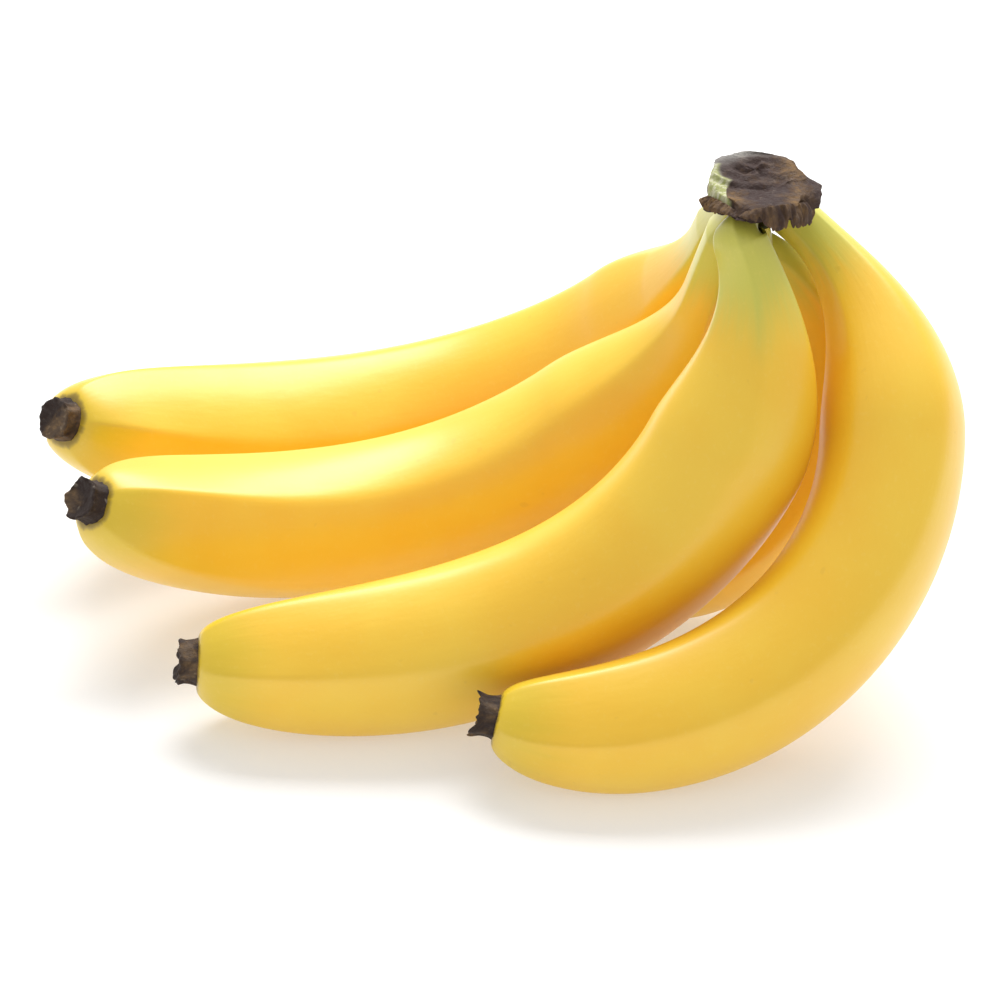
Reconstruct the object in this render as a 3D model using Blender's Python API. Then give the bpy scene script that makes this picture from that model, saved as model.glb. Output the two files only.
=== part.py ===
"""Bunch of five bananas joined at one crown, lying on the backs of the fruit.

Units are metres, +Z up, +X from the blossom ends towards the crown, +Y towards the back of
the bunch.  The origin is on the table, under the middle of the bunch.  Every banana is a tube
laid along a curved centre line: it leaves the crown, bends towards the blossom end in one
plane, and its section is a rounded pentagon that swells from a thin neck to a full body and
closes on a dried blossom end.  The crown is the block of stalk the necks grow from.
"""
import bmesh
import bpy
import numpy as np

MM = 0.001

# --- the stalk the bananas grow from -----------------------------------------------------------
AXIS_TURN = 20.0        # degrees the growing direction is turned from -X towards -Y
AXIS_RISE = 5.0         # degrees the growing direction rises from the table

# --- the bananas, in millimetres and degrees ---------------------------------------------------
# stem: where the centre line leaves the crown; fan: how far the banana swings round the stalk;
# lean: sideways lean of its bending plane; length: along the centre line, blossom end included;
# girth: thickness against the common body; neck: length of the thin neck; roll: turn of the five
# ridges; start, end: heading of the centre line at the stem and at the tip; hold: share of the
# length that stays straight below the stem; early: how much of the turn is made before the
# middle, 0 for an even bend.  A neck below zero starts to swell inside the crown.
BANANAS = {
    "banana_1": dict(stem=(52, 15.5, 92.5), fan=-41, lean=0, length=225, girth=1.04, neck=8,
                     roll=-25, start=-8, end=126, hold=0.15, early=0.5),
    "banana_2": dict(stem=(53, -1, 98.5), fan=-25, lean=0, length=203, girth=1.0, neck=19,
                     roll=-15, start=0, end=126, hold=0.12, early=0.3),
    "banana_3": dict(stem=(54, -17, 105), fan=10, lean=15, length=185, girth=1.04, neck=-2,
                     roll=-15, start=-24, end=94, hold=0, early=0.8),
    "banana_4": dict(stem=(66.5, 9, 99.1), fan=40, lean=15, length=183, girth=0.93, neck=4,
                     roll=-45, start=-42, end=115, hold=0, early=0.15),
    "banana_5": dict(stem=(60, 7.5, 91.5), fan=4, lean=0, length=120, girth=0.72, neck=4,
                     roll=-15, start=-62, end=95, hold=0, early=0.1),
}

# --- the common banana section, in millimetres -------------------------------------------------
NECK_RADIUS = 5.5
BODY_RADIUS = 17.0
SHOULDER_RUN = 52.0     # distance over which the neck swells to the body
TAPER_RUN = 75.0        # distance over which the body closes on the blossom end
TAPER_POWER = 2.6       # higher keeps the body full for longer before it closes
BLOSSOM_RADIUS = 5.0
BLOSSOM_LENGTH = 5.0
RIDGES = 5
RIDGE_HEIGHT = 0.036    # how far the ridges stand out, as a share of the radius
RIDGE_SHARPNESS = 0.25  # second harmonic of the section: flatter faces, tighter ridges
SIDES = 20              # points round a banana
BODY_RINGS = 30         # rings between the stem and the start of the tip
TIP_RINGS = 7           # rings over the tip, closer and closer towards the blossom end
TIP_ZONE = 24.0         # distance from the blossom end over which the tip closes up
END_DOME = 0.4          # height of the small dome that closes each end

# --- the crown ---------------------------------------------------------------------------------
SOCKET_DEPTH = 4.0                  # how deep each neck sits in the crown
SOCKET_GAP = 0.3                    # clearance round and over each neck
SOCKET_WALL = 1.2                   # thickness of crown round each neck
SOCKET_ROOM = 0.6                   # clearance over the top of each neck
SOCKET_SHARE = 0.22                 # share of a banana's length cleared of the crown
SOCKET_RINGS = 12
CUT_CENTRE = (59.0, -7.0, 117.0)    # middle of the cut face on top of the crown
CUT_HALF_WIDTH = 10.0
CUT_HALF_DEPTH = 7.0
CUT_SIDES = 16

PEEL = (0.93, 0.62, 0.06, 1.0)
PEEL_ROUGHNESS = 0.42
STALK = (0.13, 0.085, 0.06, 1.0)
STALK_ROUGHNESS = 0.85

PATH_STEPS = 400        # steps along a centre line when its heading is summed
MERGE_DISTANCE = 0.001  # millimetres, points closer than this are one point


def clear_scene():
    for item in list(bpy.data.objects):
        bpy.data.objects.remove(item, do_unlink=True)


def principled(name, colour, roughness):
    material = bpy.data.materials.new(name)
    material.use_nodes = True
    shader = material.node_tree.nodes["Principled BSDF"]
    shader.inputs["Base Color"].default_value = colour
    shader.inputs["Roughness"].default_value = roughness
    shader.inputs["Metallic"].default_value = 0.0
    material.diffuse_color = colour
    return material


def smooth_step(value):
    """0 below 0, 1 above 1, an even S between."""
    value = np.clip(value, 0.0, 1.0)
    return value * value * (3.0 - 2.0 * value)


def growing_axis():
    turn, rise = np.radians(AXIS_TURN), np.radians(AXIS_RISE)
    return np.array([-np.cos(turn) * np.cos(rise), -np.sin(turn) * np.cos(rise), np.sin(rise)])


def bending_plane(banana):
    """Two directions that span the plane a banana bends in: away from the stalk, and along it."""
    axis = growing_axis()
    down = np.array([0.0, 0.0, -1.0]) + axis * axis[2]
    down /= np.linalg.norm(down)
    front = np.cross(axis, down)
    fan, lean = np.radians(banana["fan"]), np.radians(banana["lean"])
    away = np.cos(fan) * down + np.sin(fan) * front
    along = np.cos(lean) * axis + np.sin(lean) * np.cross(away, axis)
    return away, along


def heading_at(banana, share):
    """Heading in the bending plane: an even turn, plus an arch that brings the turn forward."""
    bent = np.clip((share - banana["hold"]) / (1.0 - banana["hold"]), 0.0, 1.0)
    turned = bent + banana["early"] * bent * (1.0 - bent)
    return np.radians(banana["start"] + (banana["end"] - banana["start"]) * turned)[:, None]


def radius_at(banana, share):
    """Radius of a banana: a thin neck, an S-shaped shoulder, a body and an elliptic taper."""
    run = share * banana["length"]
    left = banana["length"] - BLOSSOM_LENGTH - run
    swell = smooth_step((run - banana["neck"]) / SHOULDER_RUN)
    close = np.clip(1.0 - left / (TAPER_RUN * banana["girth"]), 0.0, 1.0)
    full = np.sqrt(1.0 - close ** TAPER_POWER)
    body = NECK_RADIUS + (BODY_RADIUS - NECK_RADIUS) * swell
    return (BLOSSOM_RADIUS + (body - BLOSSOM_RADIUS) * full) * banana["girth"]


def centre_line(banana, share):
    """Points and directions of the centre line at the given shares of its length."""
    away, along = bending_plane(banana)
    fine = np.linspace(0.0, 1.0, PATH_STEPS + 1)
    heading = heading_at(banana, fine)
    direction = np.cos(heading) * away + np.sin(heading) * along
    stride = banana["length"] * (direction[1:] + direction[:-1]) / 2.0 / PATH_STEPS
    path = np.vstack([np.zeros(3), np.cumsum(stride, axis=0)]) + np.array(banana["stem"])
    point = np.column_stack([np.interp(share, fine, path[:, k]) for k in range(3)])
    heading = heading_at(banana, share)
    tangent = np.cos(heading) * away + np.sin(heading) * along
    inner = -np.sin(heading) * away + np.cos(heading) * along
    return point, tangent, inner, np.cross(tangent, inner)


def banana_rings(banana, share, spread=0.0):
    """Rings of points of a banana, in millimetres, grown outwards by the given spread."""
    point, tangent, inner, side = centre_line(banana, share)
    radius = radius_at(banana, share) + spread
    turn = np.linspace(0.0, 2.0 * np.pi, SIDES, endpoint=False)
    wave = RIDGES * (turn - np.radians(banana["roll"]))
    section = 1.0 + RIDGE_HEIGHT * (np.cos(wave) + RIDGE_SHARPNESS * np.cos(2.0 * wave))
    reach = radius[:, None] * section[None, :]
    rings = (point[:, None, :]
             + (reach * np.cos(turn))[:, :, None] * inner[:, None, :]
             + (reach * np.sin(turn))[:, :, None] * side[:, None, :])
    return rings, tangent


def tube(rings, start_cap, end_cap):
    """Closed triangle mesh over a stack of rings, with a centre point at either end."""
    count, sides = rings.shape[:2]
    points = np.vstack([rings.reshape(-1, 3), start_cap, end_cap])
    grid = np.arange(count * sides).reshape(count, sides)
    a, b = grid[:-1], grid[1:]
    c, d = np.roll(a, -1, axis=1), np.roll(b, -1, axis=1)
    wall = np.concatenate([np.stack([a, c, d], -1).reshape(-1, 3),
                           np.stack([a, d, b], -1).reshape(-1, 3)])
    first, last = grid[0], grid[-1]
    apex = np.full(sides, count * sides)
    ends = np.concatenate([np.stack([apex, np.roll(first, -1), first], -1),
                           np.stack([apex + 1, last, np.roll(last, -1)], -1)])
    return points, np.concatenate([wall, ends])


def add_object(name, points, faces, material):
    mesh = bpy.data.meshes.new(name)
    mesh.from_pydata((points * MM).tolist(), [], faces.tolist())
    mesh.materials.append(material)
    work = bmesh.new()
    work.from_mesh(mesh)
    bmesh.ops.recalc_face_normals(work, faces=work.faces)
    work.to_mesh(mesh)
    work.free()
    item = bpy.data.objects.new(name, mesh)
    bpy.context.scene.collection.objects.link(item)
    return item


def add_banana(name, banana):
    closing = (1.0 - np.linspace(0.0, 1.0, TIP_RINGS)) ** 2
    left = np.append(BLOSSOM_LENGTH + (TIP_ZONE - BLOSSOM_LENGTH) * closing, 0.0)
    share = 1.0 - left / banana["length"]
    share = np.concatenate([np.linspace(0.0, share[0], BODY_RINGS, endpoint=False), share])
    rings, tangent = banana_rings(banana, share)
    start_cap = rings[0].mean(axis=0)
    end_cap = rings[-1].mean(axis=0) + tangent[-1] * END_DOME
    points, faces = tube(rings, start_cap, end_cap)
    return add_object(name, points, faces, principled(name + "_peel", PEEL, PEEL_ROUGHNESS))


def crown_block(material):
    """The uncut block: the hull of a collar round each neck and of the cut face on top."""
    collars = []
    for banana in BANANAS.values():
        share = np.array([SOCKET_DEPTH / banana["length"]])
        rings, _ = banana_rings(banana, share, SOCKET_GAP + SOCKET_WALL)
        collars.append(rings[0])
    turn = np.linspace(0.0, 2.0 * np.pi, CUT_SIDES, endpoint=False)
    x = CUT_HALF_WIDTH * np.cos(turn)
    y = CUT_HALF_DEPTH * np.sin(turn)
    cut = np.array(CUT_CENTRE) + np.column_stack([x, y, np.zeros(CUT_SIDES)])
    work = bmesh.new()
    for point in np.vstack(collars + [cut]) * MM:
        work.verts.new(point)
    result = bmesh.ops.convex_hull(work, input=work.verts[:])
    spare = [item for item in result["geom_interior"] if isinstance(item, bmesh.types.BMVert)]
    bmesh.ops.delete(work, geom=spare, context="VERTS")
    bmesh.ops.recalc_face_normals(work, faces=work.faces)
    mesh = bpy.data.meshes.new("crown")
    work.to_mesh(mesh)
    work.free()
    mesh.materials.append(material)
    item = bpy.data.objects.new("crown", mesh)
    bpy.context.scene.collection.objects.link(item)
    return item


def socket_tool(name, banana, material):
    """A neck grown by the clearance and run a little past its end, to be cut from the crown."""
    share = np.linspace(0.0, SOCKET_SHARE, SOCKET_RINGS)
    rings, tangent = banana_rings(banana, share, SOCKET_GAP)
    rings[0] -= tangent[0] * SOCKET_ROOM
    points, faces = tube(rings, rings[0].mean(axis=0), rings[-1].mean(axis=0))
    return add_object(name + "_socket", points, faces, material)


def add_crown():
    """The crown: the block less a socket for every neck."""
    stalk = principled("crown_stalk", STALK, STALK_ROUGHNESS)
    crown = crown_block(stalk)
    tools = [socket_tool(name, banana, stalk) for name, banana in BANANAS.items()]
    for tool in tools:
        cut = crown.modifiers.new(tool.name, "BOOLEAN")
        cut.operation = "DIFFERENCE"
        cut.solver = "EXACT"
        cut.object = tool
    graph = bpy.context.evaluated_depsgraph_get()
    whole = bpy.data.meshes.new_from_object(crown.evaluated_get(graph))
    crown.modifiers.clear()
    crown.data = keep_largest(whole)
    crown.data.materials.clear()
    crown.data.materials.append(stalk)
    for tool in tools:
        bpy.data.objects.remove(tool, do_unlink=True)
    return crown


def keep_largest(mesh):
    """The same mesh with its points merged and only its largest connected piece kept."""
    work = bmesh.new()
    work.from_mesh(mesh)
    bmesh.ops.remove_doubles(work, verts=work.verts, dist=MERGE_DISTANCE * MM)
    bmesh.ops.dissolve_degenerate(work, edges=work.edges, dist=MERGE_DISTANCE * MM)
    bmesh.ops.triangulate(work, faces=work.faces)
    left = set(work.verts)
    pieces = []
    while left:
        piece = {left.pop()}
        edge = set(piece)
        while edge:
            edge = {e.other_vert(v) for v in edge for e in v.link_edges} - piece
            piece |= edge
        left -= piece
        pieces.append(piece)
    pieces.sort(key=len)
    for piece in pieces[:-1]:
        bmesh.ops.delete(work, geom=list(piece), context="VERTS")
    bmesh.ops.recalc_face_normals(work, faces=work.faces)
    work.to_mesh(mesh)
    work.free()
    return mesh


def main():
    clear_scene()
    add_crown()
    for name, banana in BANANAS.items():
        add_banana(name, banana)


main()
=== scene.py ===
"""Bunch of five ripe bananas on one dried crown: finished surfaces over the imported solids.

Sizes and places are in millimetres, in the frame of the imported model: Z up, X towards the crown,
the table at zero. Those of the settings, the lights and the camera are in metres.
"""

import bpy
import numpy as np
from bpy.props import FloatProperty, FloatVectorProperty, IntProperty, PointerProperty
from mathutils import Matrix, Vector


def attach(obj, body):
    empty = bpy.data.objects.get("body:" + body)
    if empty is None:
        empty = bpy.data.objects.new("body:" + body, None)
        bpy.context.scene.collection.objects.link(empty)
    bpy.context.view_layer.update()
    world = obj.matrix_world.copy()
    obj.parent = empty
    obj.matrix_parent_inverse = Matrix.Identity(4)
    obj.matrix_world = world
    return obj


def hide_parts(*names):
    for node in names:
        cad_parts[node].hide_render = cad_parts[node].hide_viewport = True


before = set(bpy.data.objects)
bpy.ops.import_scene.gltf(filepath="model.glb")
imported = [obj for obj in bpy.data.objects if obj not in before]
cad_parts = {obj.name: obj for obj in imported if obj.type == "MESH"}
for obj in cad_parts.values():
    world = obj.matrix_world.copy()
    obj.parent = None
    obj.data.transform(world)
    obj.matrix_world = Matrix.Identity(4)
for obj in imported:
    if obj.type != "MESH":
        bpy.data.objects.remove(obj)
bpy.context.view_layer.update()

bl_info = {
    "name": "Bunch of bananas",
    "version": (1, 0, 0),
    "blender": (4, 5, 0),
    "location": "View3D > Sidebar > Bananas",
    "description": "Builds the peel, blossom ends, crown and studio of a bunch of bananas",
    "category": "Add Mesh",
}

MM = 0.001

# --- the run of each banana, in millimetres and degrees -----------------------------------------
# stem: where it leaves the crown; fan, lean: swing and side lean of its bending plane; neck:
# length of the thin neck; roll: turn of its ridges; start, end: heading of the centre line at the
# stem and at the tip; hold: share of the length that stays straight below the stem; early: how
# much of the turn is made before the middle
AXIS_TURN = 20.0
AXIS_RISE = 5.0
BANANAS = {
    "banana_1": dict(stem=(52, 15.5, 92.5), fan=-41, lean=0, length=225, girth=1.04, neck=8,
                     roll=-25, start=-8, end=126, hold=0.15, early=0.5),
    "banana_2": dict(stem=(53, -1, 98.5), fan=-25, lean=0, length=203, girth=1.0, neck=19,
                     roll=-15, start=0, end=126, hold=0.12, early=0.3),
    "banana_3": dict(stem=(54, -17, 105), fan=10, lean=15, length=185, girth=1.04, neck=-2,
                     roll=-15, start=-24, end=94, hold=0, early=0.8),
    "banana_4": dict(stem=(66.5, 9, 99.1), fan=40, lean=15, length=183, girth=0.93, neck=4,
                     roll=-45, start=-42, end=115, hold=0, early=0.15),
    "banana_5": dict(stem=(60, 7.5, 91.5), fan=4, lean=0, length=120, girth=0.72, neck=4,
                     roll=-15, start=-62, end=95, hold=0, early=0.1),
}
NECK_RADIUS = 5.5
BODY_RADIUS = 17.0
SHOULDER_RUN = 52.0     # distance over which the neck swells to the body
TAPER_RUN = 75.0        # distance over which the body closes on the blossom end
TAPER_POWER = 2.6
BLOSSOM_RADIUS = 5.0
BLOSSOM_LENGTH = 5.0
RIDGES = 5
TIP_ZONE = 26.0         # length before the blossom end where the peel's rings lie closer
TABLE_CLEARANCE = 0.02  # lowest the peel comes to the table

# --- the crown, in millimetres ------------------------------------------------------------------
CUT_MIDDLE = (57.6, -6.2, 118.0)    # middle of the cut face
CUT_HALF = (10.0, 6.8)
CUT_TILT = 0.26                     # the cut face falls towards the front
HEM_MIDDLE = (58.6, -8.5, 109.2)    # middle of the ring where the dried bark ends
HEM_HALF = (11.6, 14.6)
HEM_SLOPE = -0.24                   # the hem falls towards the back
STEM_PLANE = (-0.42, 0.30, 95.5)    # slope along Y, slope along X, height over (STEM_PLANE_X, 0)
STEM_PLANE_X = 56.0
WEB_RADII = (3.6, 3.6, 0.5, 4.2, 6.2)   # green tissue round each neck, next to none round the third
ROOT_HEIGHT = 108.5                 # where the necks end inside the crown
ROOT_SPREAD = (0.55, 0.32)          # share of the stems' spread along X and Y left at the roots
STEMS_MIDDLE_Y = 2.0                # the stems are drawn in round this Y
KNEE_PULL = 0.4                     # how far a level stem runs straight on inside the crown

# --- the studio, in metres ----------------------------------------------------------------------
KEY_PLACE = (0.10, 0.60, 0.90)
KEY_SIZE = (1.0, 0.7)
KEY_AIM = (0.0, 0.0, 0.04)
CAMERA_TARGET = (0.003, 0.054, 0.0)
FLOOR_HALF = 3.0


# --- sizes and colours a user would change ------------------------------------------------------
class PeelSettings(bpy.types.PropertyGroup):
    """Peel of the bananas."""
    ripe: FloatVectorProperty(
        name="Ripe", description="Colour of the ripe peel", subtype="COLOR", size=3,
        min=0.0, max=1.0, default=(0.91, 0.585, 0.040))
    deep: FloatVectorProperty(
        name="Deep", description="Deeper yellow the ripe peel drifts to", subtype="COLOR", size=3,
        min=0.0, max=1.0, default=(0.90, 0.525, 0.022))
    green: FloatVectorProperty(
        name="Green", description="Colour of the necks", subtype="COLOR", size=3,
        min=0.0, max=1.0, default=(0.62, 0.58, 0.080))
    tip: FloatVectorProperty(
        name="Tip", description="Olive yellow next to the blossom end", subtype="COLOR", size=3,
        min=0.0, max=1.0, default=(0.70, 0.50, 0.018))
    ridge: FloatProperty(
        name="Ridge", description="Share of a full pentagon in the section", default=0.42,
        min=0.0, max=1.0, subtype="FACTOR")
    rings: IntProperty(name="Rings", description="Rings along a banana", default=260, min=40)
    sides: IntProperty(name="Sides", description="Points round a banana", default=120, min=20)


class StubSettings(bpy.types.PropertyGroup):
    """Dried blossom ends."""
    dark: FloatVectorProperty(
        name="Dark", description="Colour of the dried tissue", subtype="COLOR", size=3,
        min=0.0, max=1.0, default=(0.030, 0.017, 0.013))
    tan: FloatVectorProperty(
        name="Tan", description="Colour of the lighter fibres", subtype="COLOR", size=3,
        min=0.0, max=1.0, default=(0.20, 0.125, 0.062))
    collar: FloatProperty(
        name="Collar", description="Radius where it grips the peel", default=4.9 * MM,
        min=0.001, unit="LENGTH")
    grip: FloatProperty(
        name="Grip", description="How far it reaches back over the peel", default=0.3 * MM,
        min=0.0, unit="LENGTH")


class CrownSettings(bpy.types.PropertyGroup):
    """Crown of stalk that carries the bananas."""
    dark: FloatVectorProperty(
        name="Dark", description="Colour of the dried cut", subtype="COLOR", size=3,
        min=0.0, max=1.0, default=(0.050, 0.030, 0.026))
    tan: FloatVectorProperty(
        name="Tan", description="Colour of the lighter fibres", subtype="COLOR", size=3,
        min=0.0, max=1.0, default=(0.22, 0.13, 0.055))
    flesh: FloatVectorProperty(
        name="Flesh", description="Colour of the green tissue under it", subtype="COLOR", size=3,
        min=0.0, max=1.0, default=(0.40, 0.39, 0.070))
    bare: FloatVectorProperty(
        name="Bare", description="Pale side the bark has come away from", subtype="COLOR", size=3,
        min=0.0, max=1.0, default=(0.36, 0.38, 0.14))


class StudioSettings(bpy.types.PropertyGroup):
    """Floor, lights and camera."""
    floor: FloatVectorProperty(
        name="Floor", description="Colour of the floor", subtype="COLOR", size=3,
        min=0.0, max=1.0, default=(0.66, 0.66, 0.66))
    glow: FloatProperty(
        name="Floor glow", description="Light the floor gives from below", default=0.34, min=0.0)
    sky: FloatProperty(
        name="Surround", description="Brightness of the white surround", default=0.68, min=0.0)
    key: FloatProperty(
        name="Key", description="Power of the softbox above", default=17.0, min=0.0,
        unit="POWER")
    distance: FloatProperty(
        name="Distance", description="Camera to the middle of the table", default=0.90,
        min=0.1, unit="LENGTH")
    elevation: FloatProperty(
        name="Elevation", description="Camera above the horizon", default=np.radians(30.0),
        min=0.0, max=1.57, subtype="ANGLE")
    lens: FloatProperty(
        name="Lens", description="Focal length in millimetres", default=133.0, min=10.0)


# --- curves and surfaces ------------------------------------------------------------------------
def smooth_through(stations, values, at):
    """Cubic curve through the points that never overshoots them (harmonic-mean slopes)."""
    x = np.asarray(stations, float)
    y = np.asarray(values, float)
    step = np.diff(x)
    rise = np.diff(y) / step
    slope = np.zeros(len(x))
    same_way = rise[:-1] * rise[1:] > 0.0
    w1 = 2.0 * step[1:] + step[:-1]
    w2 = step[1:] + 2.0 * step[:-1]
    safe_a = np.where(same_way, rise[:-1], 1.0)
    safe_b = np.where(same_way, rise[1:], 1.0)
    slope[1:-1] = np.where(same_way, (w1 + w2) / (w1 / safe_a + w2 / safe_b), 0.0)
    slope[0] = rise[0]
    slope[-1] = rise[-1]
    i = np.clip(np.searchsorted(x, at, side="right") - 1, 0, len(x) - 2)
    h = step[i]
    t = (at - x[i]) / h
    return (y[i] * (1.0 + 2.0 * t) * (1.0 - t) ** 2 + h * slope[i] * t * (1.0 - t) ** 2
            + y[i + 1] * t ** 2 * (3.0 - 2.0 * t) + h * slope[i + 1] * t ** 2 * (t - 1.0))


def smooth_step(value):
    """0 below 0, 1 above 1, an even S between."""
    value = np.clip(value, 0.0, 1.0)
    return value * value * (3.0 - 2.0 * value)


def heading_at(banana, share):
    """Heading in the bending plane: an even turn, plus an arch that brings the turn forward."""
    bent = np.clip((share - banana["hold"]) / (1.0 - banana["hold"]), 0.0, 1.0)
    turned = bent + banana["early"] * bent * (1.0 - bent)
    return np.radians(banana["start"] + (banana["end"] - banana["start"]) * turned)[:, None]


def radius_at(banana, share):
    """Radius of a banana: a thin neck, an S-shaped shoulder, a body and an elliptic taper."""
    run = share * banana["length"]
    left = banana["length"] - BLOSSOM_LENGTH - run
    swell = smooth_step((run - banana["neck"]) / SHOULDER_RUN)
    close = np.clip(1.0 - left / (TAPER_RUN * banana["girth"]), 0.0, 1.0)
    full = np.sqrt(1.0 - close ** TAPER_POWER)
    body = NECK_RADIUS + (BODY_RADIUS - NECK_RADIUS) * swell
    return (BLOSSOM_RADIUS + (body - BLOSSOM_RADIUS) * full) * banana["girth"]


def centre_line(banana, share):
    """Points and frame of a banana's centre line at shares of its length.

    The line is the running integral of its heading, in the plane spanned by a direction away
    from the stalk and one along it.
    """
    turn, rise = np.radians(AXIS_TURN), np.radians(AXIS_RISE)
    axis = np.array([-np.cos(turn) * np.cos(rise), -np.sin(turn) * np.cos(rise), np.sin(rise)])
    down = np.array([0.0, 0.0, -1.0]) + axis * axis[2]
    down /= np.linalg.norm(down)
    front = np.cross(axis, down)
    fan, lean = np.radians(banana["fan"]), np.radians(banana["lean"])
    away = np.cos(fan) * down + np.sin(fan) * front
    along = np.cos(lean) * axis + np.sin(lean) * np.cross(away, axis)
    fine = np.linspace(0.0, 1.0, 801)
    heading = heading_at(banana, fine)
    course = np.cos(heading) * away + np.sin(heading) * along
    stride = banana["length"] * (course[1:] + course[:-1]) / 2.0 / (len(fine) - 1)
    path = np.vstack([np.zeros(3), np.cumsum(stride, axis=0)]) + np.array(banana["stem"])
    point = np.column_stack([np.interp(share, fine, path[:, k]) for k in range(3)])
    heading = heading_at(banana, share)
    tangent = np.cos(heading) * away + np.sin(heading) * along
    inner = -np.sin(heading) * away + np.cos(heading) * along
    return point, tangent, inner, np.cross(tangent, inner)


def root_of(banana):
    """Where a neck ends inside the crown: the stems drawn together under the cut face."""
    x, y, _ = banana["stem"]
    return np.array([CUT_MIDDLE[0] + ROOT_SPREAD[0] * (x - CUT_MIDDLE[0]),
                     CUT_MIDDLE[1] + ROOT_SPREAD[1] * (y - STEMS_MIDDLE_Y), ROOT_HEIGHT])


def neck_line(banana, up):
    """Points and frame of the neck inside the crown, `up` running from 1 at its root to 0.

    A quadratic curve that leaves the stem straight on and ends at the root, turning up sooner
    the more the stem leans; the frame is the stem's, squared to the curve.
    """
    pull = KNEE_PULL * np.cos(np.radians(banana["start"])) ** 4
    point, tangent, inner, _ = centre_line(banana, np.array([0.0]))
    root = root_of(banana)
    knee = point[0] - tangent[0] * pull * np.linalg.norm(root - point[0])
    up = up[:, None]
    line = (1.0 - up) ** 2 * point[0] + 2.0 * up * (1.0 - up) * knee + up ** 2 * root
    course = (1.0 - up) * (point[0] - knee) + up * (knee - root)
    course /= np.linalg.norm(course, axis=1, keepdims=True)
    inward = inner[0] - (course @ inner[0])[:, None] * course
    inward /= np.linalg.norm(inward, axis=1, keepdims=True)
    return line, course, inward, np.cross(course, inward)


def hem_ring(turn):
    """Level outline and height of the bark's hem, an ellipse that falls towards the back."""
    x = HEM_MIDDLE[0] + HEM_HALF[0] * np.cos(turn)
    y = HEM_MIDDLE[1] + HEM_HALF[1] * np.sin(turn)
    return x, y, HEM_MIDDLE[2] + HEM_SLOPE * (y - HEM_MIDDLE[1])


def patch(turn, u, degrees, level, wide, tall):
    """A soft round patch on the bark, 1 at its middle, round an angle and a level."""
    apart = np.angle(np.exp(1j * (turn - np.radians(degrees))))
    return np.exp(-(apart / np.radians(wide)) ** 2 - ((u - level) / tall) ** 2)


def ripple(rng, count, *coordinates):
    """Sum of `count` cosines of the coordinates with seeded frequencies and phases, about -1 to 1.

    Each coordinate is a pair (array, highest whole frequency); angles stay periodic.
    """
    total = 0.0
    weight = 0.0
    for k in range(count):
        phase = rng.uniform(0.0, 2.0 * np.pi)
        speed = 0.0
        for values, highest in coordinates:
            order = rng.integers(-highest, highest + 1)
            phase = phase + order * values
            speed += abs(order) / max(highest, 1)
        share = 1.0 / (0.6 + speed)
        total = total + share * np.cos(phase)
        weight += share ** 2
    return total / np.sqrt(weight / 2.0) / 2.0


def add_skin(name, grid, first, last, material, attributes=None):
    """Closed smooth mesh over a grid of rings, in millimetres, with a pole at either end."""
    rings, sides = grid.shape[:2]
    points = np.vstack([grid.reshape(-1, 3), first, last]) * MM
    index = np.arange(rings * sides).reshape(rings, sides)
    a, b = index[:-1], index[1:]
    quads = np.stack([a, np.roll(a, -1, 1), np.roll(b, -1, 1), b], -1).reshape(-1, 4)
    low, high = rings * sides, rings * sides + 1
    top, end = index[0], index[-1]
    fans = np.concatenate([
        np.stack([np.full(sides, low), np.roll(top, -1), top], -1),
        np.stack([np.full(sides, high), end, np.roll(end, -1)], -1)])
    corner = points[quads]
    volume = np.einsum("ij,ij->", corner[:, 0], np.cross(corner[:, 1], corner[:, 2]))
    volume += np.einsum("ij,ij->", corner[:, 0], np.cross(corner[:, 2], corner[:, 3]))
    if volume < 0.0:
        quads, fans = quads[:, ::-1], fans[:, ::-1]
    mesh = bpy.data.meshes.new(name)
    mesh.from_pydata(points.tolist(), [], quads.tolist() + fans.tolist())
    mesh.shade_smooth()
    for label, values in (attributes or {}).items():
        values = np.asarray(values, float)
        if values.ndim == 3:
            layer = mesh.attributes.new(label, "FLOAT_VECTOR", "POINT")
            flat = np.vstack([values.reshape(-1, 3), values[0].mean(0), values[-1].mean(0)])
            layer.data.foreach_set("vector", flat.ravel().astype(np.float32))
        else:
            layer = mesh.attributes.new(label, "FLOAT", "POINT")
            flat = np.append(values.ravel(), [values[0].mean(), values[-1].mean()])
            layer.data.foreach_set("value", flat.astype(np.float32))
    mesh.materials.append(material)
    piece = bpy.data.objects.new(name, mesh)
    bpy.context.scene.collection.objects.link(piece)
    return piece


def settle(piece, slot, *nodes):
    """Makes a finished piece ride with the bunch and stand for its solids."""
    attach(piece, "root")
    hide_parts(*nodes)


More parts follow.
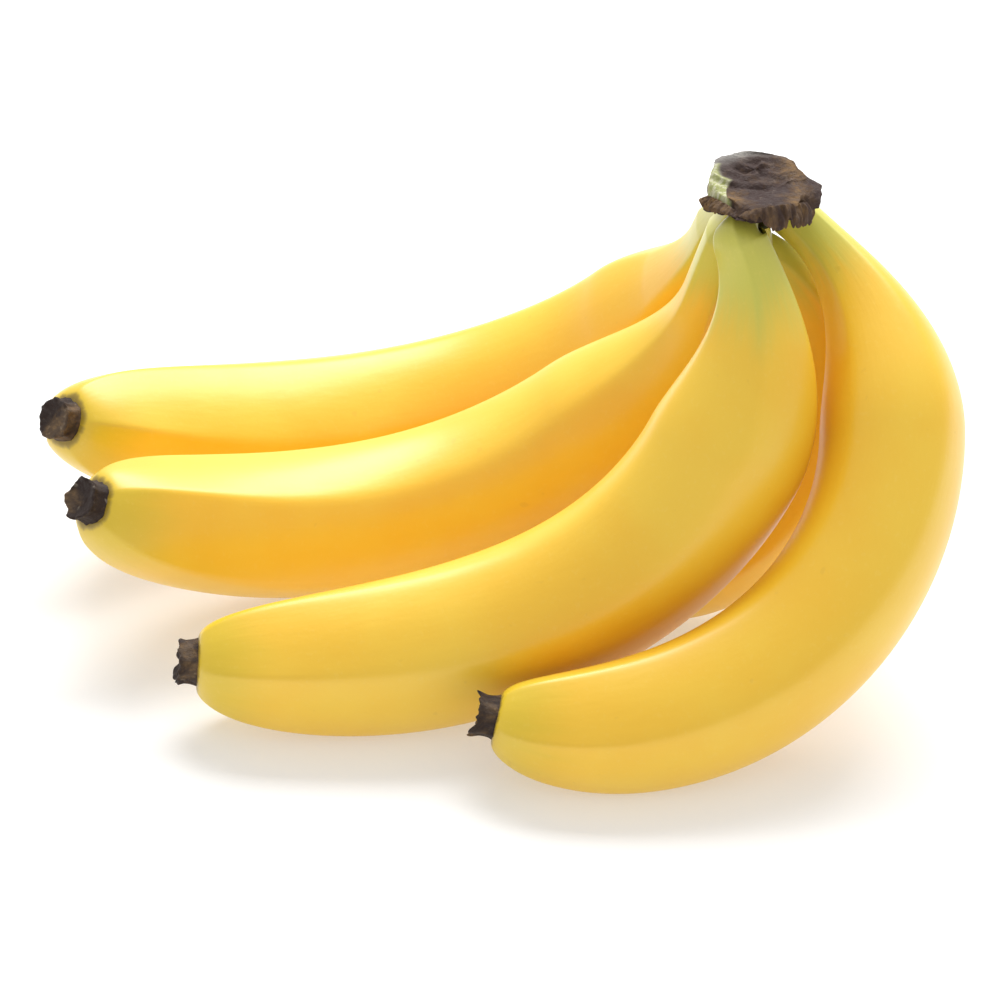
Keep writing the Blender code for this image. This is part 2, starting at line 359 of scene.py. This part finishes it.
# --- shader maths -------------------------------------------------------------------------------
class Wire:
    """A socket of a material, with arithmetic that adds Math nodes."""

    def __init__(self, tree, socket=None):
        self.tree = tree
        self.socket = socket

    def node(self, kind, settings=None, inputs=None, out=0):
        """Adds a node: its settings first, then values or wires for its sockets."""
        made = self.tree.nodes.new(kind)
        for key, value in (settings or {}).items():
            setattr(made, key, value)
        for key, value in (inputs or {}).items():
            socket = made.inputs[key]
            if isinstance(value, Wire):
                self.tree.links.new(value.socket, socket)
            elif socket.type == "RGBA" and len(value) == 3:
                socket.default_value = (*value, 1.0)
            else:
                socket.default_value = value
        return Wire(self.tree, made.outputs[out])

    def math(self, operation, first, second, clamp=False):
        return self.node("ShaderNodeMath", {"operation": operation, "use_clamp": clamp},
                         {0: first, 1: second})

    def __add__(self, other):
        return self.math("ADD", self, other)

    __radd__ = __add__

    def __sub__(self, other):
        return self.math("SUBTRACT", self, other)

    def __rsub__(self, other):
        return self.math("SUBTRACT", other, self)

    def __mul__(self, other):
        return self.math("MULTIPLY", self, other)

    __rmul__ = __mul__

    def clamp(self):
        return self.math("ADD", self, 0.0, clamp=True)

    def between(self, low, high):
        """0 below low, 1 above high, smooth in between."""
        return self.node("ShaderNodeMapRange", {"interpolation_type": "SMOOTHSTEP"},
                         {"Value": self, "From Min": low, "From Max": high})

    def blend(self, first, second):
        """Colour between two colours, by this value."""
        return self.node("ShaderNodeMix", {"data_type": "RGBA"},
                         {"Factor": self, 6: first, 7: second}, out=2)

    def attribute(self, name, out="Fac"):
        return self.node("ShaderNodeAttribute", {"attribute_name": name}, out=out)

    def noise(self, place, scale, detail=3.0, rough=0.55, distortion=0.0):
        return self.node("ShaderNodeTexNoise", None, {
            "Vector": place, "Scale": scale, "Detail": detail, "Roughness": rough,
            "Distortion": distortion})

    def stretched(self, place, scale):
        return self.node("ShaderNodeMapping", None, {"Vector": place, "Scale": scale})

    def solid_place(self):
        return self.node("ShaderNodeTexCoord", out="Object")


def new_material(name, **constants):
    """A material with one Principled shader; returns it, its wire and the shader's sockets."""
    material = bpy.data.materials.new(name)
    material.use_nodes = True
    tree = material.node_tree
    shader = tree.nodes["Principled BSDF"]
    for label, value in constants.items():
        shader.inputs[label.replace("_", " ")].default_value = value
    return material, Wire(tree), shader.inputs


def feed(wire, socket):
    wire.tree.links.new(wire.socket, socket)


def peel_material(settings):
    """Waxy peel: green neck, ripe body with drifts of yellow, fine pores, olive tip, painted shade
    rim.
    """
    material, w, sockets = new_material("banana_peel", Coat_Weight=0.45, Coat_Roughness=0.30)
    place = w.solid_place()
    skin = w.attribute("skin", "Vector")
    run = w.attribute("run")
    left = w.attribute("left")
    ridge = w.attribute("ridge")
    streak = w.noise(w.stretched(skin, (3.0, 3.0, 0.35)), 1.0, 4.0) - 0.5
    drift = w.noise(place, 24.0, 3.0)
    ripe = drift.between(0.35, 0.68).blend(tuple(settings.ripe), tuple(settings.deep))
    reach = run + streak * 14.0 - ridge * 3.0
    neck = 1.0 - reach.between(6.0, 25.0)
    body = neck.blend(ripe, tuple(settings.green))
    old = (1.0 - reach.between(-14.0, 8.0)) * 0.45
    body = old.blend(body, (0.36, 0.37, 0.070))
    tip = 1.0 - (left + streak * 8.0).between(7.0, 24.0)
    body = (tip * 0.85).blend(body, tuple(settings.tip))
    # painted shade: a dark rim on the peel where it meets the blossom end
    painted_shade_rim = 1.0 - (left + streak).between(5.0, 5.5)
    body = (painted_shade_rim * 0.6).blend(body, (0.10, 0.055, 0.02))
    pores = w.noise(place, 900.0, 2.0).between(0.56, 0.74)
    body = (pores * 0.07).blend(body, (0.98, 0.75, 0.20))
    flecks = w.noise(place, 300.0, 1.0).between(0.74, 0.80)
    body = (flecks * 0.10).blend(body, (0.40, 0.20, 0.02))
    feed(body, sockets["Base Color"])
    rough = 0.42 + w.noise(place, 140.0, 2.0) * 0.08
    feed(rough, sockets["Roughness"])
    fine = w.noise(w.stretched(skin, (9.0, 9.0, 1.2)), 1.0, 3.0)
    grain = w.noise(place, 700.0, 2.0)
    bump = w.node("ShaderNodeBump", None, {
        "Strength": 0.25, "Distance": 0.0003, "Height": fine * 0.7 + grain * 0.3})
    feed(bump, sockets["Normal"])
    return material


def dried_material(settings):
    """Dried blossom end: nearly black, with tan fibres and patches and a few pale frayed ends."""
    material, w, sockets = new_material("dried_blossom", Specular_IOR_Level=0.3)
    place = w.solid_place()
    fibre = (60.0, 120.0, 120.0)
    mottle = w.noise(place, 110.0, 4.0, 0.6, 0.4).between(0.48, 0.66)
    strand = w.noise(w.stretched(place, fibre), 6.0, 4.0, 0.65).between(0.42, 0.70)
    colour = (mottle * (0.35 + strand * 0.65)).blend(tuple(settings.dark), tuple(settings.tan))
    frayed = (strand * w.noise(place, 420.0, 3.0).between(0.60, 0.74)) * 0.55
    colour = frayed.blend(colour, (0.42, 0.36, 0.27))
    feed(colour, sockets["Base Color"])
    feed(0.62 + strand * 0.28, sockets["Roughness"])
    bump = w.node("ShaderNodeBump", None, {
        "Strength": 0.8, "Distance": 0.0006,
        "Height": w.noise(w.stretched(place, fibre), 7.0, 5.0, 0.7) + mottle * 0.4})
    feed(bump, sockets["Normal"])
    return material


def crown_material(settings):
    """Dried bark of the crown: purple-brown, tan where it is torn, pale green where it is bare."""
    material, w, sockets = new_material("dried_crown", Specular_IOR_Level=0.25)
    place = w.solid_place()
    strand = w.noise(w.stretched(place, (150.0, 150.0, 45.0)), 5.0, 5.0, 0.68).between(0.38, 0.68)
    mottle = w.noise(place, 260.0, 4.0, 0.65).between(0.40, 0.62)
    tan = (w.attribute("tan") * 1.25 + mottle * 0.35 - 0.18).clamp() * (0.35 + strand * 0.65)
    colour = tan.blend(tuple(settings.dark), tuple(settings.tan))
    ash = (strand * w.noise(place, 420.0, 3.0).between(0.58, 0.74)) * 0.35
    colour = ash.blend(colour, (0.30, 0.24, 0.20))
    fibre = w.noise(w.stretched(place, (160.0, 160.0, 22.0)), 6.0, 4.0, 0.6).between(0.42, 0.60)
    pale = fibre.blend(tuple(settings.bare), (0.58, 0.57, 0.38))
    colour = (w.attribute("bare") * 0.96).blend(colour, pale)
    colour = (w.attribute("grey") * (0.5 + mottle * 0.4)).clamp().blend(colour, (0.42, 0.41, 0.38))
    feed(colour, sockets["Base Color"])
    feed(0.68 + strand * 0.25, sockets["Roughness"])
    relief = w.noise(w.stretched(place, (140.0, 140.0, 50.0)), 7.0, 5.0, 0.7)
    bump = w.node("ShaderNodeBump", None, {
        "Strength": 0.8, "Distance": 0.0006, "Height": relief + mottle * 0.4})
    feed(bump, sockets["Normal"])
    return material


def flesh_material(settings):
    """Green tissue between the crown and the necks, mottled and scarred."""
    material, w, sockets = new_material("crown_flesh", Coat_Weight=0.05)
    place = w.solid_place()
    mottled = w.noise(place, 160.0, 4.0).between(0.35, 0.65)
    colour = mottled.blend(tuple(settings.flesh), (0.50, 0.48, 0.10))
    scar = w.noise(w.stretched(place, (1.0, 1.0, 0.3)), 320.0, 3.0).between(0.60, 0.70)
    colour = (scar * 0.55).blend(colour, (0.16, 0.10, 0.04))
    feed(colour, sockets["Base Color"])
    feed(0.45 + mottled * 0.15, sockets["Roughness"])
    bump = w.node("ShaderNodeBump", None, {
        "Strength": 0.4, "Distance": 0.0003, "Height": w.noise(place, 500.0, 3.0)})
    feed(bump, sockets["Normal"])
    return material


# --- operators ----------------------------------------------------------------------------------
class BUNCH_OT_peels(bpy.types.Operator):
    """Adds the peel of every banana, a five-ridged tube along its centre line"""
    bl_idname = "bunch.peels"
    bl_label = "Peels"

    def execute(self, context):
        settings = context.scene.bunch_peel
        material = peel_material(settings)
        for number, (node, banana) in enumerate(BANANAS.items()):
            settle(self.peel(node, banana, number, settings, material), "peel", node)
        return {"FINISHED"}

    def peel(self, node, banana, number, settings, material):
        """Radius times a rounded pentagon, plus slow dents of a fraction of a millimetre.

        The pentagon is cos(36) / cos(36 - d), d being the angle to the nearest ridge, rounded
        by taking the root of d squared plus a small constant; only a part of it is used.
        """
        rng = np.random.default_rng(40 + number)
        length = banana["length"]
        peel_end = 1.0 - BLOSSOM_LENGTH / length
        tip_start = 1.0 - TIP_ZONE / length
        body = np.linspace(0.0, tip_start, settings.rings * 3 // 4, endpoint=False)
        closing = 1.0 - (1.0 - np.linspace(0.0, 1.0, settings.rings // 4)) ** 2
        share = np.concatenate([body, tip_start + (peel_end - tip_start) * closing,
                                [peel_end + 0.4 / length]])
        up = np.linspace(1.0, 0.0, settings.rings // 10, endpoint=False)
        frames = [np.concatenate(pair) for pair in zip(neck_line(banana, up),
                                                       centre_line(banana, share))]
        point, _, inner, side = frames
        above = np.linalg.norm(root_of(banana) - np.array(banana["stem"])) * up
        run = np.concatenate([-above, share * length])
        share = run / length
        radius = radius_at(banana, np.clip(share, 0.0, 1.0))
        radius[-1] *= 0.6
        radius[:len(up)] *= 1.0 - 0.5 * up
        turn = np.linspace(0.0, 2.0 * np.pi, settings.sides, endpoint=False)[None, :]
        along = np.clip(share, 0.0, 1.0)[:, None]
        wander = np.radians(banana["roll"]) + 0.08 * np.sin(2.2 * np.pi * along + number)
        step = 2.0 * np.pi / RIDGES
        off = (turn - wander + step / 2.0) % step - step / 2.0
        crisp = smooth_through((0.0, 0.1, 0.3, 0.5, 0.75, 0.93, 1.0),
                               (0.05, 0.07, 0.13, 0.14, 0.08, 0.03, 0.05), along)
        half = np.pi / RIDGES
        pentagon = np.cos(half) / np.cos(half - np.minimum(np.sqrt(off ** 2 + crisp ** 2), half))
        pentagon = pentagon / pentagon.mean(axis=1, keepdims=True) - 1.0
        amount = settings.ridge * smooth_through(
            (0.0, 0.1, 0.25, 0.5, 0.75, 0.92, 1.0), (1.3, 1.2, 1.0, 1.0, 1.2, 1.5, 0.6), along)
        dent = 0.006 * ripple(rng, 14, (turn, 4), (along * 6.0, 3))
        reach = radius[:, None] * (1.0 + amount * pentagon + dent)
        grid = (point[:, None, :] + (reach * np.cos(turn))[..., None] * inner[:, None, :]
                + (reach * np.sin(turn))[..., None] * side[:, None, :])
        grid[..., 2] = np.maximum(grid[..., 2], TABLE_CLEARANCE)
        flat = np.broadcast_to(turn, reach.shape)
        down = np.broadcast_to(run[:, None], reach.shape)
        skin = np.stack([np.cos(flat) + number * 7.0, np.sin(flat), down / 10.0], -1)
        marks = {"run": down, "left": length - down, "skin": skin,
                 "ridge": np.exp(-(off / 0.13) ** 2)}
        return add_skin(node + "_peel", grid, point[0], point[-1], material, marks)


class BUNCH_OT_blossom_ends(bpy.types.Operator):
    """Adds the dried blossom end of every banana"""
    bl_idname = "bunch.blossom_ends"
    bl_label = "Blossom ends"

    def execute(self, context):
        settings = context.scene.bunch_stub
        material = dried_material(settings)
        for number, (node, banana) in enumerate(BANANAS.items()):
            settle(self.stub(node, banana, number, settings, material), "stalk", node)
        return {"FINISHED"}

    def stub(self, node, banana, number, settings, material):
        """A short flared collar whose rim is torn into small horns and whose face is sunken.

        Stations run up the outside, over the rim and down to the middle of the face; the rim's
        height is a sum of cosines of the angle, raised to make a few sharp horns.
        """
        rng = np.random.default_rng(90 + number)
        reach_out = BLOSSOM_LENGTH + settings.grip / MM
        start = 1.0 - reach_out / banana["length"]
        point, tangent, inner, side = centre_line(banana, np.array([start]))
        scale = 0.5 + 0.5 * banana["girth"]
        u = np.linspace(0.0, 1.0, 60)[:, None]
        turn = np.linspace(0.0, 2.0 * np.pi, 96, endpoint=False)[None, :]
        collar = settings.collar / MM * scale
        stations = (0.0, 0.10, 0.22, 0.45, 0.62, 0.70, 0.80, 0.9, 1.0)
        radius = collar * smooth_through(
            stations, (0.90, 1.03, 0.96, 0.92, 0.98, 0.90, 0.66, 0.36, 0.04), u)
        height = reach_out * smooth_through(
            stations, (0.0, 0.06, 0.22, 0.55, 0.82, 0.85, 0.76, 0.70, 0.68), u)
        tooth = np.clip(ripple(rng, 9, (turn, 7)), -0.5, 1.1)
        rim = np.exp(-((u - 0.64) / 0.11) ** 2)
        height = height + rim * (0.9 * tooth + 0.4 * ripple(rng, 12, (turn, 22)))
        grip = np.exp(-((u - 0.10) / 0.06) ** 2)
        height = height - grip * (0.1 + 0.5 * np.clip(ripple(rng, 12, (turn, 12)), 0.0, 1.2))
        outer = 1.0 - np.clip((u - 0.70) / 0.2, 0.0, 1.0)
        fold = 0.05 * ripple(rng, 16, (turn, 18), (u * 3.0, 2)) + 0.04 * np.cos(5.0 * turn)
        radius = radius * (1.0 + outer * fold + rim * 0.06 * tooth)
        grid = (point[0] + height[..., None] * tangent[0]
                + (radius * np.cos(turn))[..., None] * inner[0]
                + (radius * np.sin(turn))[..., None] * side[0])
        first = grid[0].mean(axis=0)
        last = grid[-1].mean(axis=0)
        return add_skin(node + "_blossom", grid, first, last, material)


class BUNCH_OT_crown(bpy.types.Operator):
    """Adds the crown: green tissue the necks grow from, under a dried and torn bark"""
    bl_idname = "bunch.crown"
    bl_label = "Crown"

    def execute(self, context):
        settings = context.scene.bunch_crown
        dried = crown_material(settings)
        settle(self.flesh(settings), "stalk", "crown")
        settle(self.bark(dried), "stalk", "crown")
        flaps = ((0.0, 0.03, 0.08, 0.18, 0.22, 0.27, 0.40, 0.50, 0.53, 0.57, 0.75, 0.90, 0.96, 1.0),
                 (0.6, 2.8, 3.6, 3.8, 1.9, 4.4, 5.4, 5.0, 3.0, 5.0, 6.0, 7.2, 4.0, 0.6))
        collar = ((0.0, 0.5, 1.0), (1.6, 2.4, 1.6))
        settle(self.ribbon("crown_skirt", 21, (-118.0, -14.0), 2.8, flaps, 1.1, 0.0, dried),
               "stalk", "crown")
        settle(self.ribbon("crown_curl", 24, (-196.0, -119.0), 2.6, collar, 1.3, 0.5, dried),
               "stalk", "crown")
        return {"FINISHED"}

    def flesh(self, settings):
        """Soft union of the necks: at each level and angle, the log-sum-exp of how far each
        neck reaches from the middle, closed at the top and bottom.

        A level is a plane parallel to the one through the stems, `lift` above it.
        """
        turn = np.linspace(0.0, 2.0 * np.pi, 180, endpoint=False)[None, :, None]
        level = np.linspace(0.0, 1.0, 60)[:, None, None]
        lift = 8.0 - 14.0 * level
        stems = np.array([b["stem"] for b in BANANAS.values()], float)
        roots = np.array([root_of(b) for b in BANANAS.values()])
        slope_y, slope_x, base = STEM_PLANE
        over_stem, over_root = (
            p[:, 2] - base - slope_y * p[:, 1] - slope_x * (p[:, 0] - STEM_PLANE_X)
            for p in (stems, roots))
        rise = np.clip((lift - over_stem) / (over_root - over_stem), -0.25, 1.1)
        where = stems + rise[..., None] * (roots - stems)
        middle = where.mean(axis=2, keepdims=True)
        dx, dy = (where - middle)[..., 0], (where - middle)[..., 1]
        radius = np.array(WEB_RADII)
        ahead = dx * np.cos(turn) + dy * np.sin(turn)
        aside = -dx * np.sin(turn) + dy * np.cos(turn)
        chord = np.sqrt(np.clip(radius ** 2 - aside ** 2, 0.0, None))
        reach = np.where(np.abs(aside) < radius, ahead + chord, 0.0)
        soft = np.log(np.exp(reach / 1.2).sum(axis=2)) * 1.2
        close = smooth_through((0.0, 0.08, 0.3, 0.88, 1.0), (0.5, 0.85, 1.0, 0.95, 0.4),
                               level[..., 0])
        soft = np.clip(soft, 3.0, 24.0) * close
        x = middle[..., 0] + soft * np.cos(turn[..., 0])
        y = middle[..., 1] + soft * np.sin(turn[..., 0])
        z = base + slope_y * y + slope_x * (x - STEM_PLANE_X) + lift[..., 0]
        grid = np.stack([x, y, z], -1)
        return add_skin("crown_flesh", grid, grid[0].mean(0), grid[-1].mean(0),
                        flesh_material(settings))

    def bark(self, material):
        """Rings from the sunken cut, over its edge, out to the hem and back in underneath.

        Each ring is an ellipse times a seven-sided polygon; ridged folds, the crag, stand out
        from the side, and the left side, where the bark has come away, is smoother and sunk.
        """
        rng = np.random.default_rng(7)
        turn = np.linspace(-np.pi, np.pi, 260, endpoint=False)[None, :]
        u = np.linspace(0.0, 1.0, 150)[:, None]
        at = (0.0, 0.14, 0.26, 0.32, 0.50, 0.66, 0.78, 0.86, 1.0)
        out = smooth_through(at, (0.0, 0.0, 0.0, 0.06, 0.60, 0.88, 1.0, 0.95, 0.6), u)
        size = smooth_through(at, (0.04, 0.50, 0.90, 0.98, 1.0, 1.0, 1.0, 0.86, 0.10), u)
        fall = smooth_through(at, (0.0, 0.0, 0.01, 0.07, 0.38, 0.70, 1.0, 0.92, 0.75), u)
        _, _, hem = hem_ring(turn)
        x_mid = CUT_MIDDLE[0] + (HEM_MIDDLE[0] - CUT_MIDDLE[0]) * out
        y_mid = CUT_MIDDLE[1] + (HEM_MIDDLE[1] - CUT_MIDDLE[1]) * out
        wide = (CUT_HALF[0] + (HEM_HALF[0] - CUT_HALF[0]) * out) * size
        deep = (CUT_HALF[1] + (HEM_HALF[1] - CUT_HALF[1]) * out) * size
        bare = patch(turn, u, -166.0, 0.5, 50.0, 9.0) ** 2
        bare = smooth_step((bare - 0.32) / 0.12) * smooth_step((0.76 - u) / 0.04)
        bare = bare * smooth_step((u - 0.20) / 0.04)
        side = smooth_step((u - 0.24) / 0.08) * smooth_step((0.95 - u) / 0.1)
        crag = 1.0 - 2.0 * np.abs(ripple(rng, 18, (turn, 7), (u * 5.0, 3)))
        folds = ripple(rng, 22, (turn, 26), (u * 3.0, 2))
        fine = ripple(rng, 40, (turn, 60), (u * 12.0, 8))
        corner = (turn * 7.0 / (2.0 * np.pi) + 0.3) % 1.0 - 0.5
        polygon = np.cos(np.pi / 7.0) / np.cos(2.0 * np.pi / 7.0 * corner)
        swell = 1.0 + side * (0.5 * (polygon - 0.96) + (1.0 - 0.8 * bare)
                              * (0.075 * crag + 0.036 * folds + 0.014 * fine) - 0.03 * bare)
        swell = swell + 0.13 * patch(turn, u, 0.0, 0.60, 22.0, 0.14)
        x = x_mid + wide * swell * np.cos(turn)
        y = y_mid + deep * swell * np.sin(turn)
        torn = np.exp(-((u - 0.78) / 0.08) ** 2) * (0.7 * ripple(rng, 18, (turn, 16)) + 0.3)
        rough = 0.45 * ripple(rng, 24, (turn, 8), (u * 9.0, 6))
        face = CUT_MIDDLE[2] + CUT_TILT * (y - CUT_MIDDLE[1] - CUT_HALF[1]) * (1.0 - out)
        z = face + (hem - face) * fall - torn + rough * (1.0 - 0.7 * side)
        grid = np.stack([x, y, z], -1)
        tan = (patch(turn, u, -120.0, 0.48, 13.0, 0.14) + patch(turn, u, -42.0, 0.56, 17.0, 0.16)
               + patch(turn, u, 10.0, 0.27, 40.0, 0.13) + 0.5 * patch(turn, u, 90.0, 0.6, 60.0, 0.2))
        grey = patch(turn, u, 130.0, 0.27, 50.0, 0.08)
        marks = {"bare": bare, "tan": np.clip(tan, 0.0, 1.0), "grey": grey}
        return add_skin("crown_bark", grid, grid[0].mean(0), grid[-1].mean(0), material, marks)

    def ribbon(self, name, seed, angles, over, depths, thick, curl, material):
        """A torn strip along the hem, from `over` above it down to a ragged edge.

        `depths` holds stations along the strip and how deep it hangs at each of them.

        Its section is a thin closed lens: the height runs as half a cosine, the thickness as a
        sine; `curl` rolls the lower edge outwards.
        """
        rng = np.random.default_rng(seed)
        run = np.linspace(0.0, 1.0, 220)[:, None]
        turn = np.radians(angles[0] + (angles[1] - angles[0]) * run)
        round_it = np.linspace(0.0, 2.0 * np.pi, 44, endpoint=False)[None, :]
        down = 0.5 - 0.5 * np.cos(round_it)
        ends = np.sqrt(np.clip(np.sin(np.pi * run), 0.0, 1.0))
        nicks = ripple(rng, 24, (run * 2.0 * np.pi, 40))
        height = (smooth_through(*depths, run) + 0.45 * nicks) * ends
        crumple = ripple(rng, 30, (run * 2.0 * np.pi, 24), (down * 3.0, 2))
        lens = 0.5 * thick * np.sin(round_it) * ends
        x, y, z = hem_ring(turn)
        stand = (0.2 + lens + 0.5 * crumple * ends + curl * down ** 2 + 0.4 * np.sin(np.pi * down)
                 - (1.0 - down))
        x = x + stand * np.cos(turn)
        y = y + stand * np.sin(turn)
        z = z + over * ends - down * height + 0.2 * crumple
        grid = np.stack([x, y, z], -1)
        tan = 0.5 + 0.5 * ripple(rng, 10, (run * 2.0 * np.pi, 7)) + 0.0 * down
        marks = {"bare": np.zeros(tan.shape), "tan": np.clip(tan + 0.3 * curl, 0.0, 1.0),
                 "grey": np.zeros(tan.shape)}
        return add_skin(name, grid, grid[0].mean(0), grid[-1].mean(0), material, marks)


class BUNCH_OT_studio(bpy.types.Operator):
    """Adds the pale floor, the white surround, the softbox and the camera"""
    bl_idname = "bunch.studio"
    bl_label = "Studio"

    def execute(self, context):
        scene = context.scene
        settings = scene.bunch_studio
        self.floor(settings)
        world = bpy.data.worlds.new("white_surround")
        world.use_nodes = True
        back = world.node_tree.nodes["Background"]
        back.inputs["Color"].default_value = (1.0, 1.0, 1.0, 1.0)
        back.inputs["Strength"].default_value = settings.sky
        scene.world = world
        self.softbox(settings)
        target = Vector(CAMERA_TARGET)
        camera = bpy.data.objects.new("camera", bpy.data.cameras.new("camera"))
        scene.collection.objects.link(camera)
        camera.data.lens = settings.lens
        camera.data.sensor_width = 36.0
        camera.data.clip_start = 0.01
        offset = Vector((0.0, -np.cos(settings.elevation), np.sin(settings.elevation)))
        camera.location = target + offset * settings.distance
        camera.rotation_euler = (target - camera.location).to_track_quat("-Z", "Y").to_euler()
        scene.camera = camera
        scene.view_settings.view_transform = "Standard"
        return {"FINISHED"}

    def softbox(self, settings):
        light = bpy.data.lights.new("key_light", "AREA")
        light.shape = "RECTANGLE"
        light.size, light.size_y = KEY_SIZE
        light.energy = settings.key
        lamp = bpy.data.objects.new("key_light", light)
        bpy.context.scene.collection.objects.link(lamp)
        lamp.location = KEY_PLACE
        lamp.rotation_euler = (Vector(KEY_AIM) - lamp.location).to_track_quat("-Z", "Y").to_euler()

    def floor(self, settings):
        mesh = bpy.data.meshes.new("floor")
        half = FLOOR_HALF
        mesh.from_pydata([(-half, -half, 0), (half, -half, 0), (half, half, 0), (-half, half, 0)],
                         [], [(0, 1, 2, 3)])
        material, _, sockets = new_material("floor", Roughness=0.9, Specular_IOR_Level=0.0)
        sockets["Base Color"].default_value = (*settings.floor, 1.0)
        sockets["Emission Color"].default_value = (1.0, 1.0, 1.0, 1.0)
        sockets["Emission Strength"].default_value = settings.glow
        mesh.materials.append(material)
        floor = bpy.data.objects.new("floor", mesh)
        bpy.context.scene.collection.objects.link(floor)


class BUNCH_PT_panel(bpy.types.Panel):
    """Lists the pieces of the bunch"""
    bl_idname = "BUNCH_PT_panel"
    bl_label = "Bunch of bananas"
    bl_space_type = "VIEW_3D"
    bl_region_type = "UI"
    bl_category = "Bananas"

    def draw(self, context):
        for operator in OPERATORS:
            self.layout.operator(operator.bl_idname)
        for name in SETTINGS:
            group = getattr(context.scene, name)
            for label in group.bl_rna.properties.keys():
                if label not in {"rna_type", "name"}:
                    self.layout.prop(group, label)


OPERATORS = (BUNCH_OT_peels, BUNCH_OT_blossom_ends, BUNCH_OT_crown, BUNCH_OT_studio)
SETTINGS = {"bunch_peel": PeelSettings, "bunch_stub": StubSettings,
            "bunch_crown": CrownSettings, "bunch_studio": StudioSettings}


def register():
    for kind in (*SETTINGS.values(), *OPERATORS, BUNCH_PT_panel):
        bpy.utils.register_class(kind)
    for name, kind in SETTINGS.items():
        setattr(bpy.types.Scene, name, PointerProperty(type=kind))


def unregister():
    for name in SETTINGS:
        delattr(bpy.types.Scene, name)
    for kind in reversed((*SETTINGS.values(), *OPERATORS, BUNCH_PT_panel)):
        bpy.utils.unregister_class(kind)


def main():
    register()
    for operator in OPERATORS:
        family, name = operator.bl_idname.split(".")
        getattr(getattr(bpy.ops, family), name)()


if __name__ == "__main__":
    main()
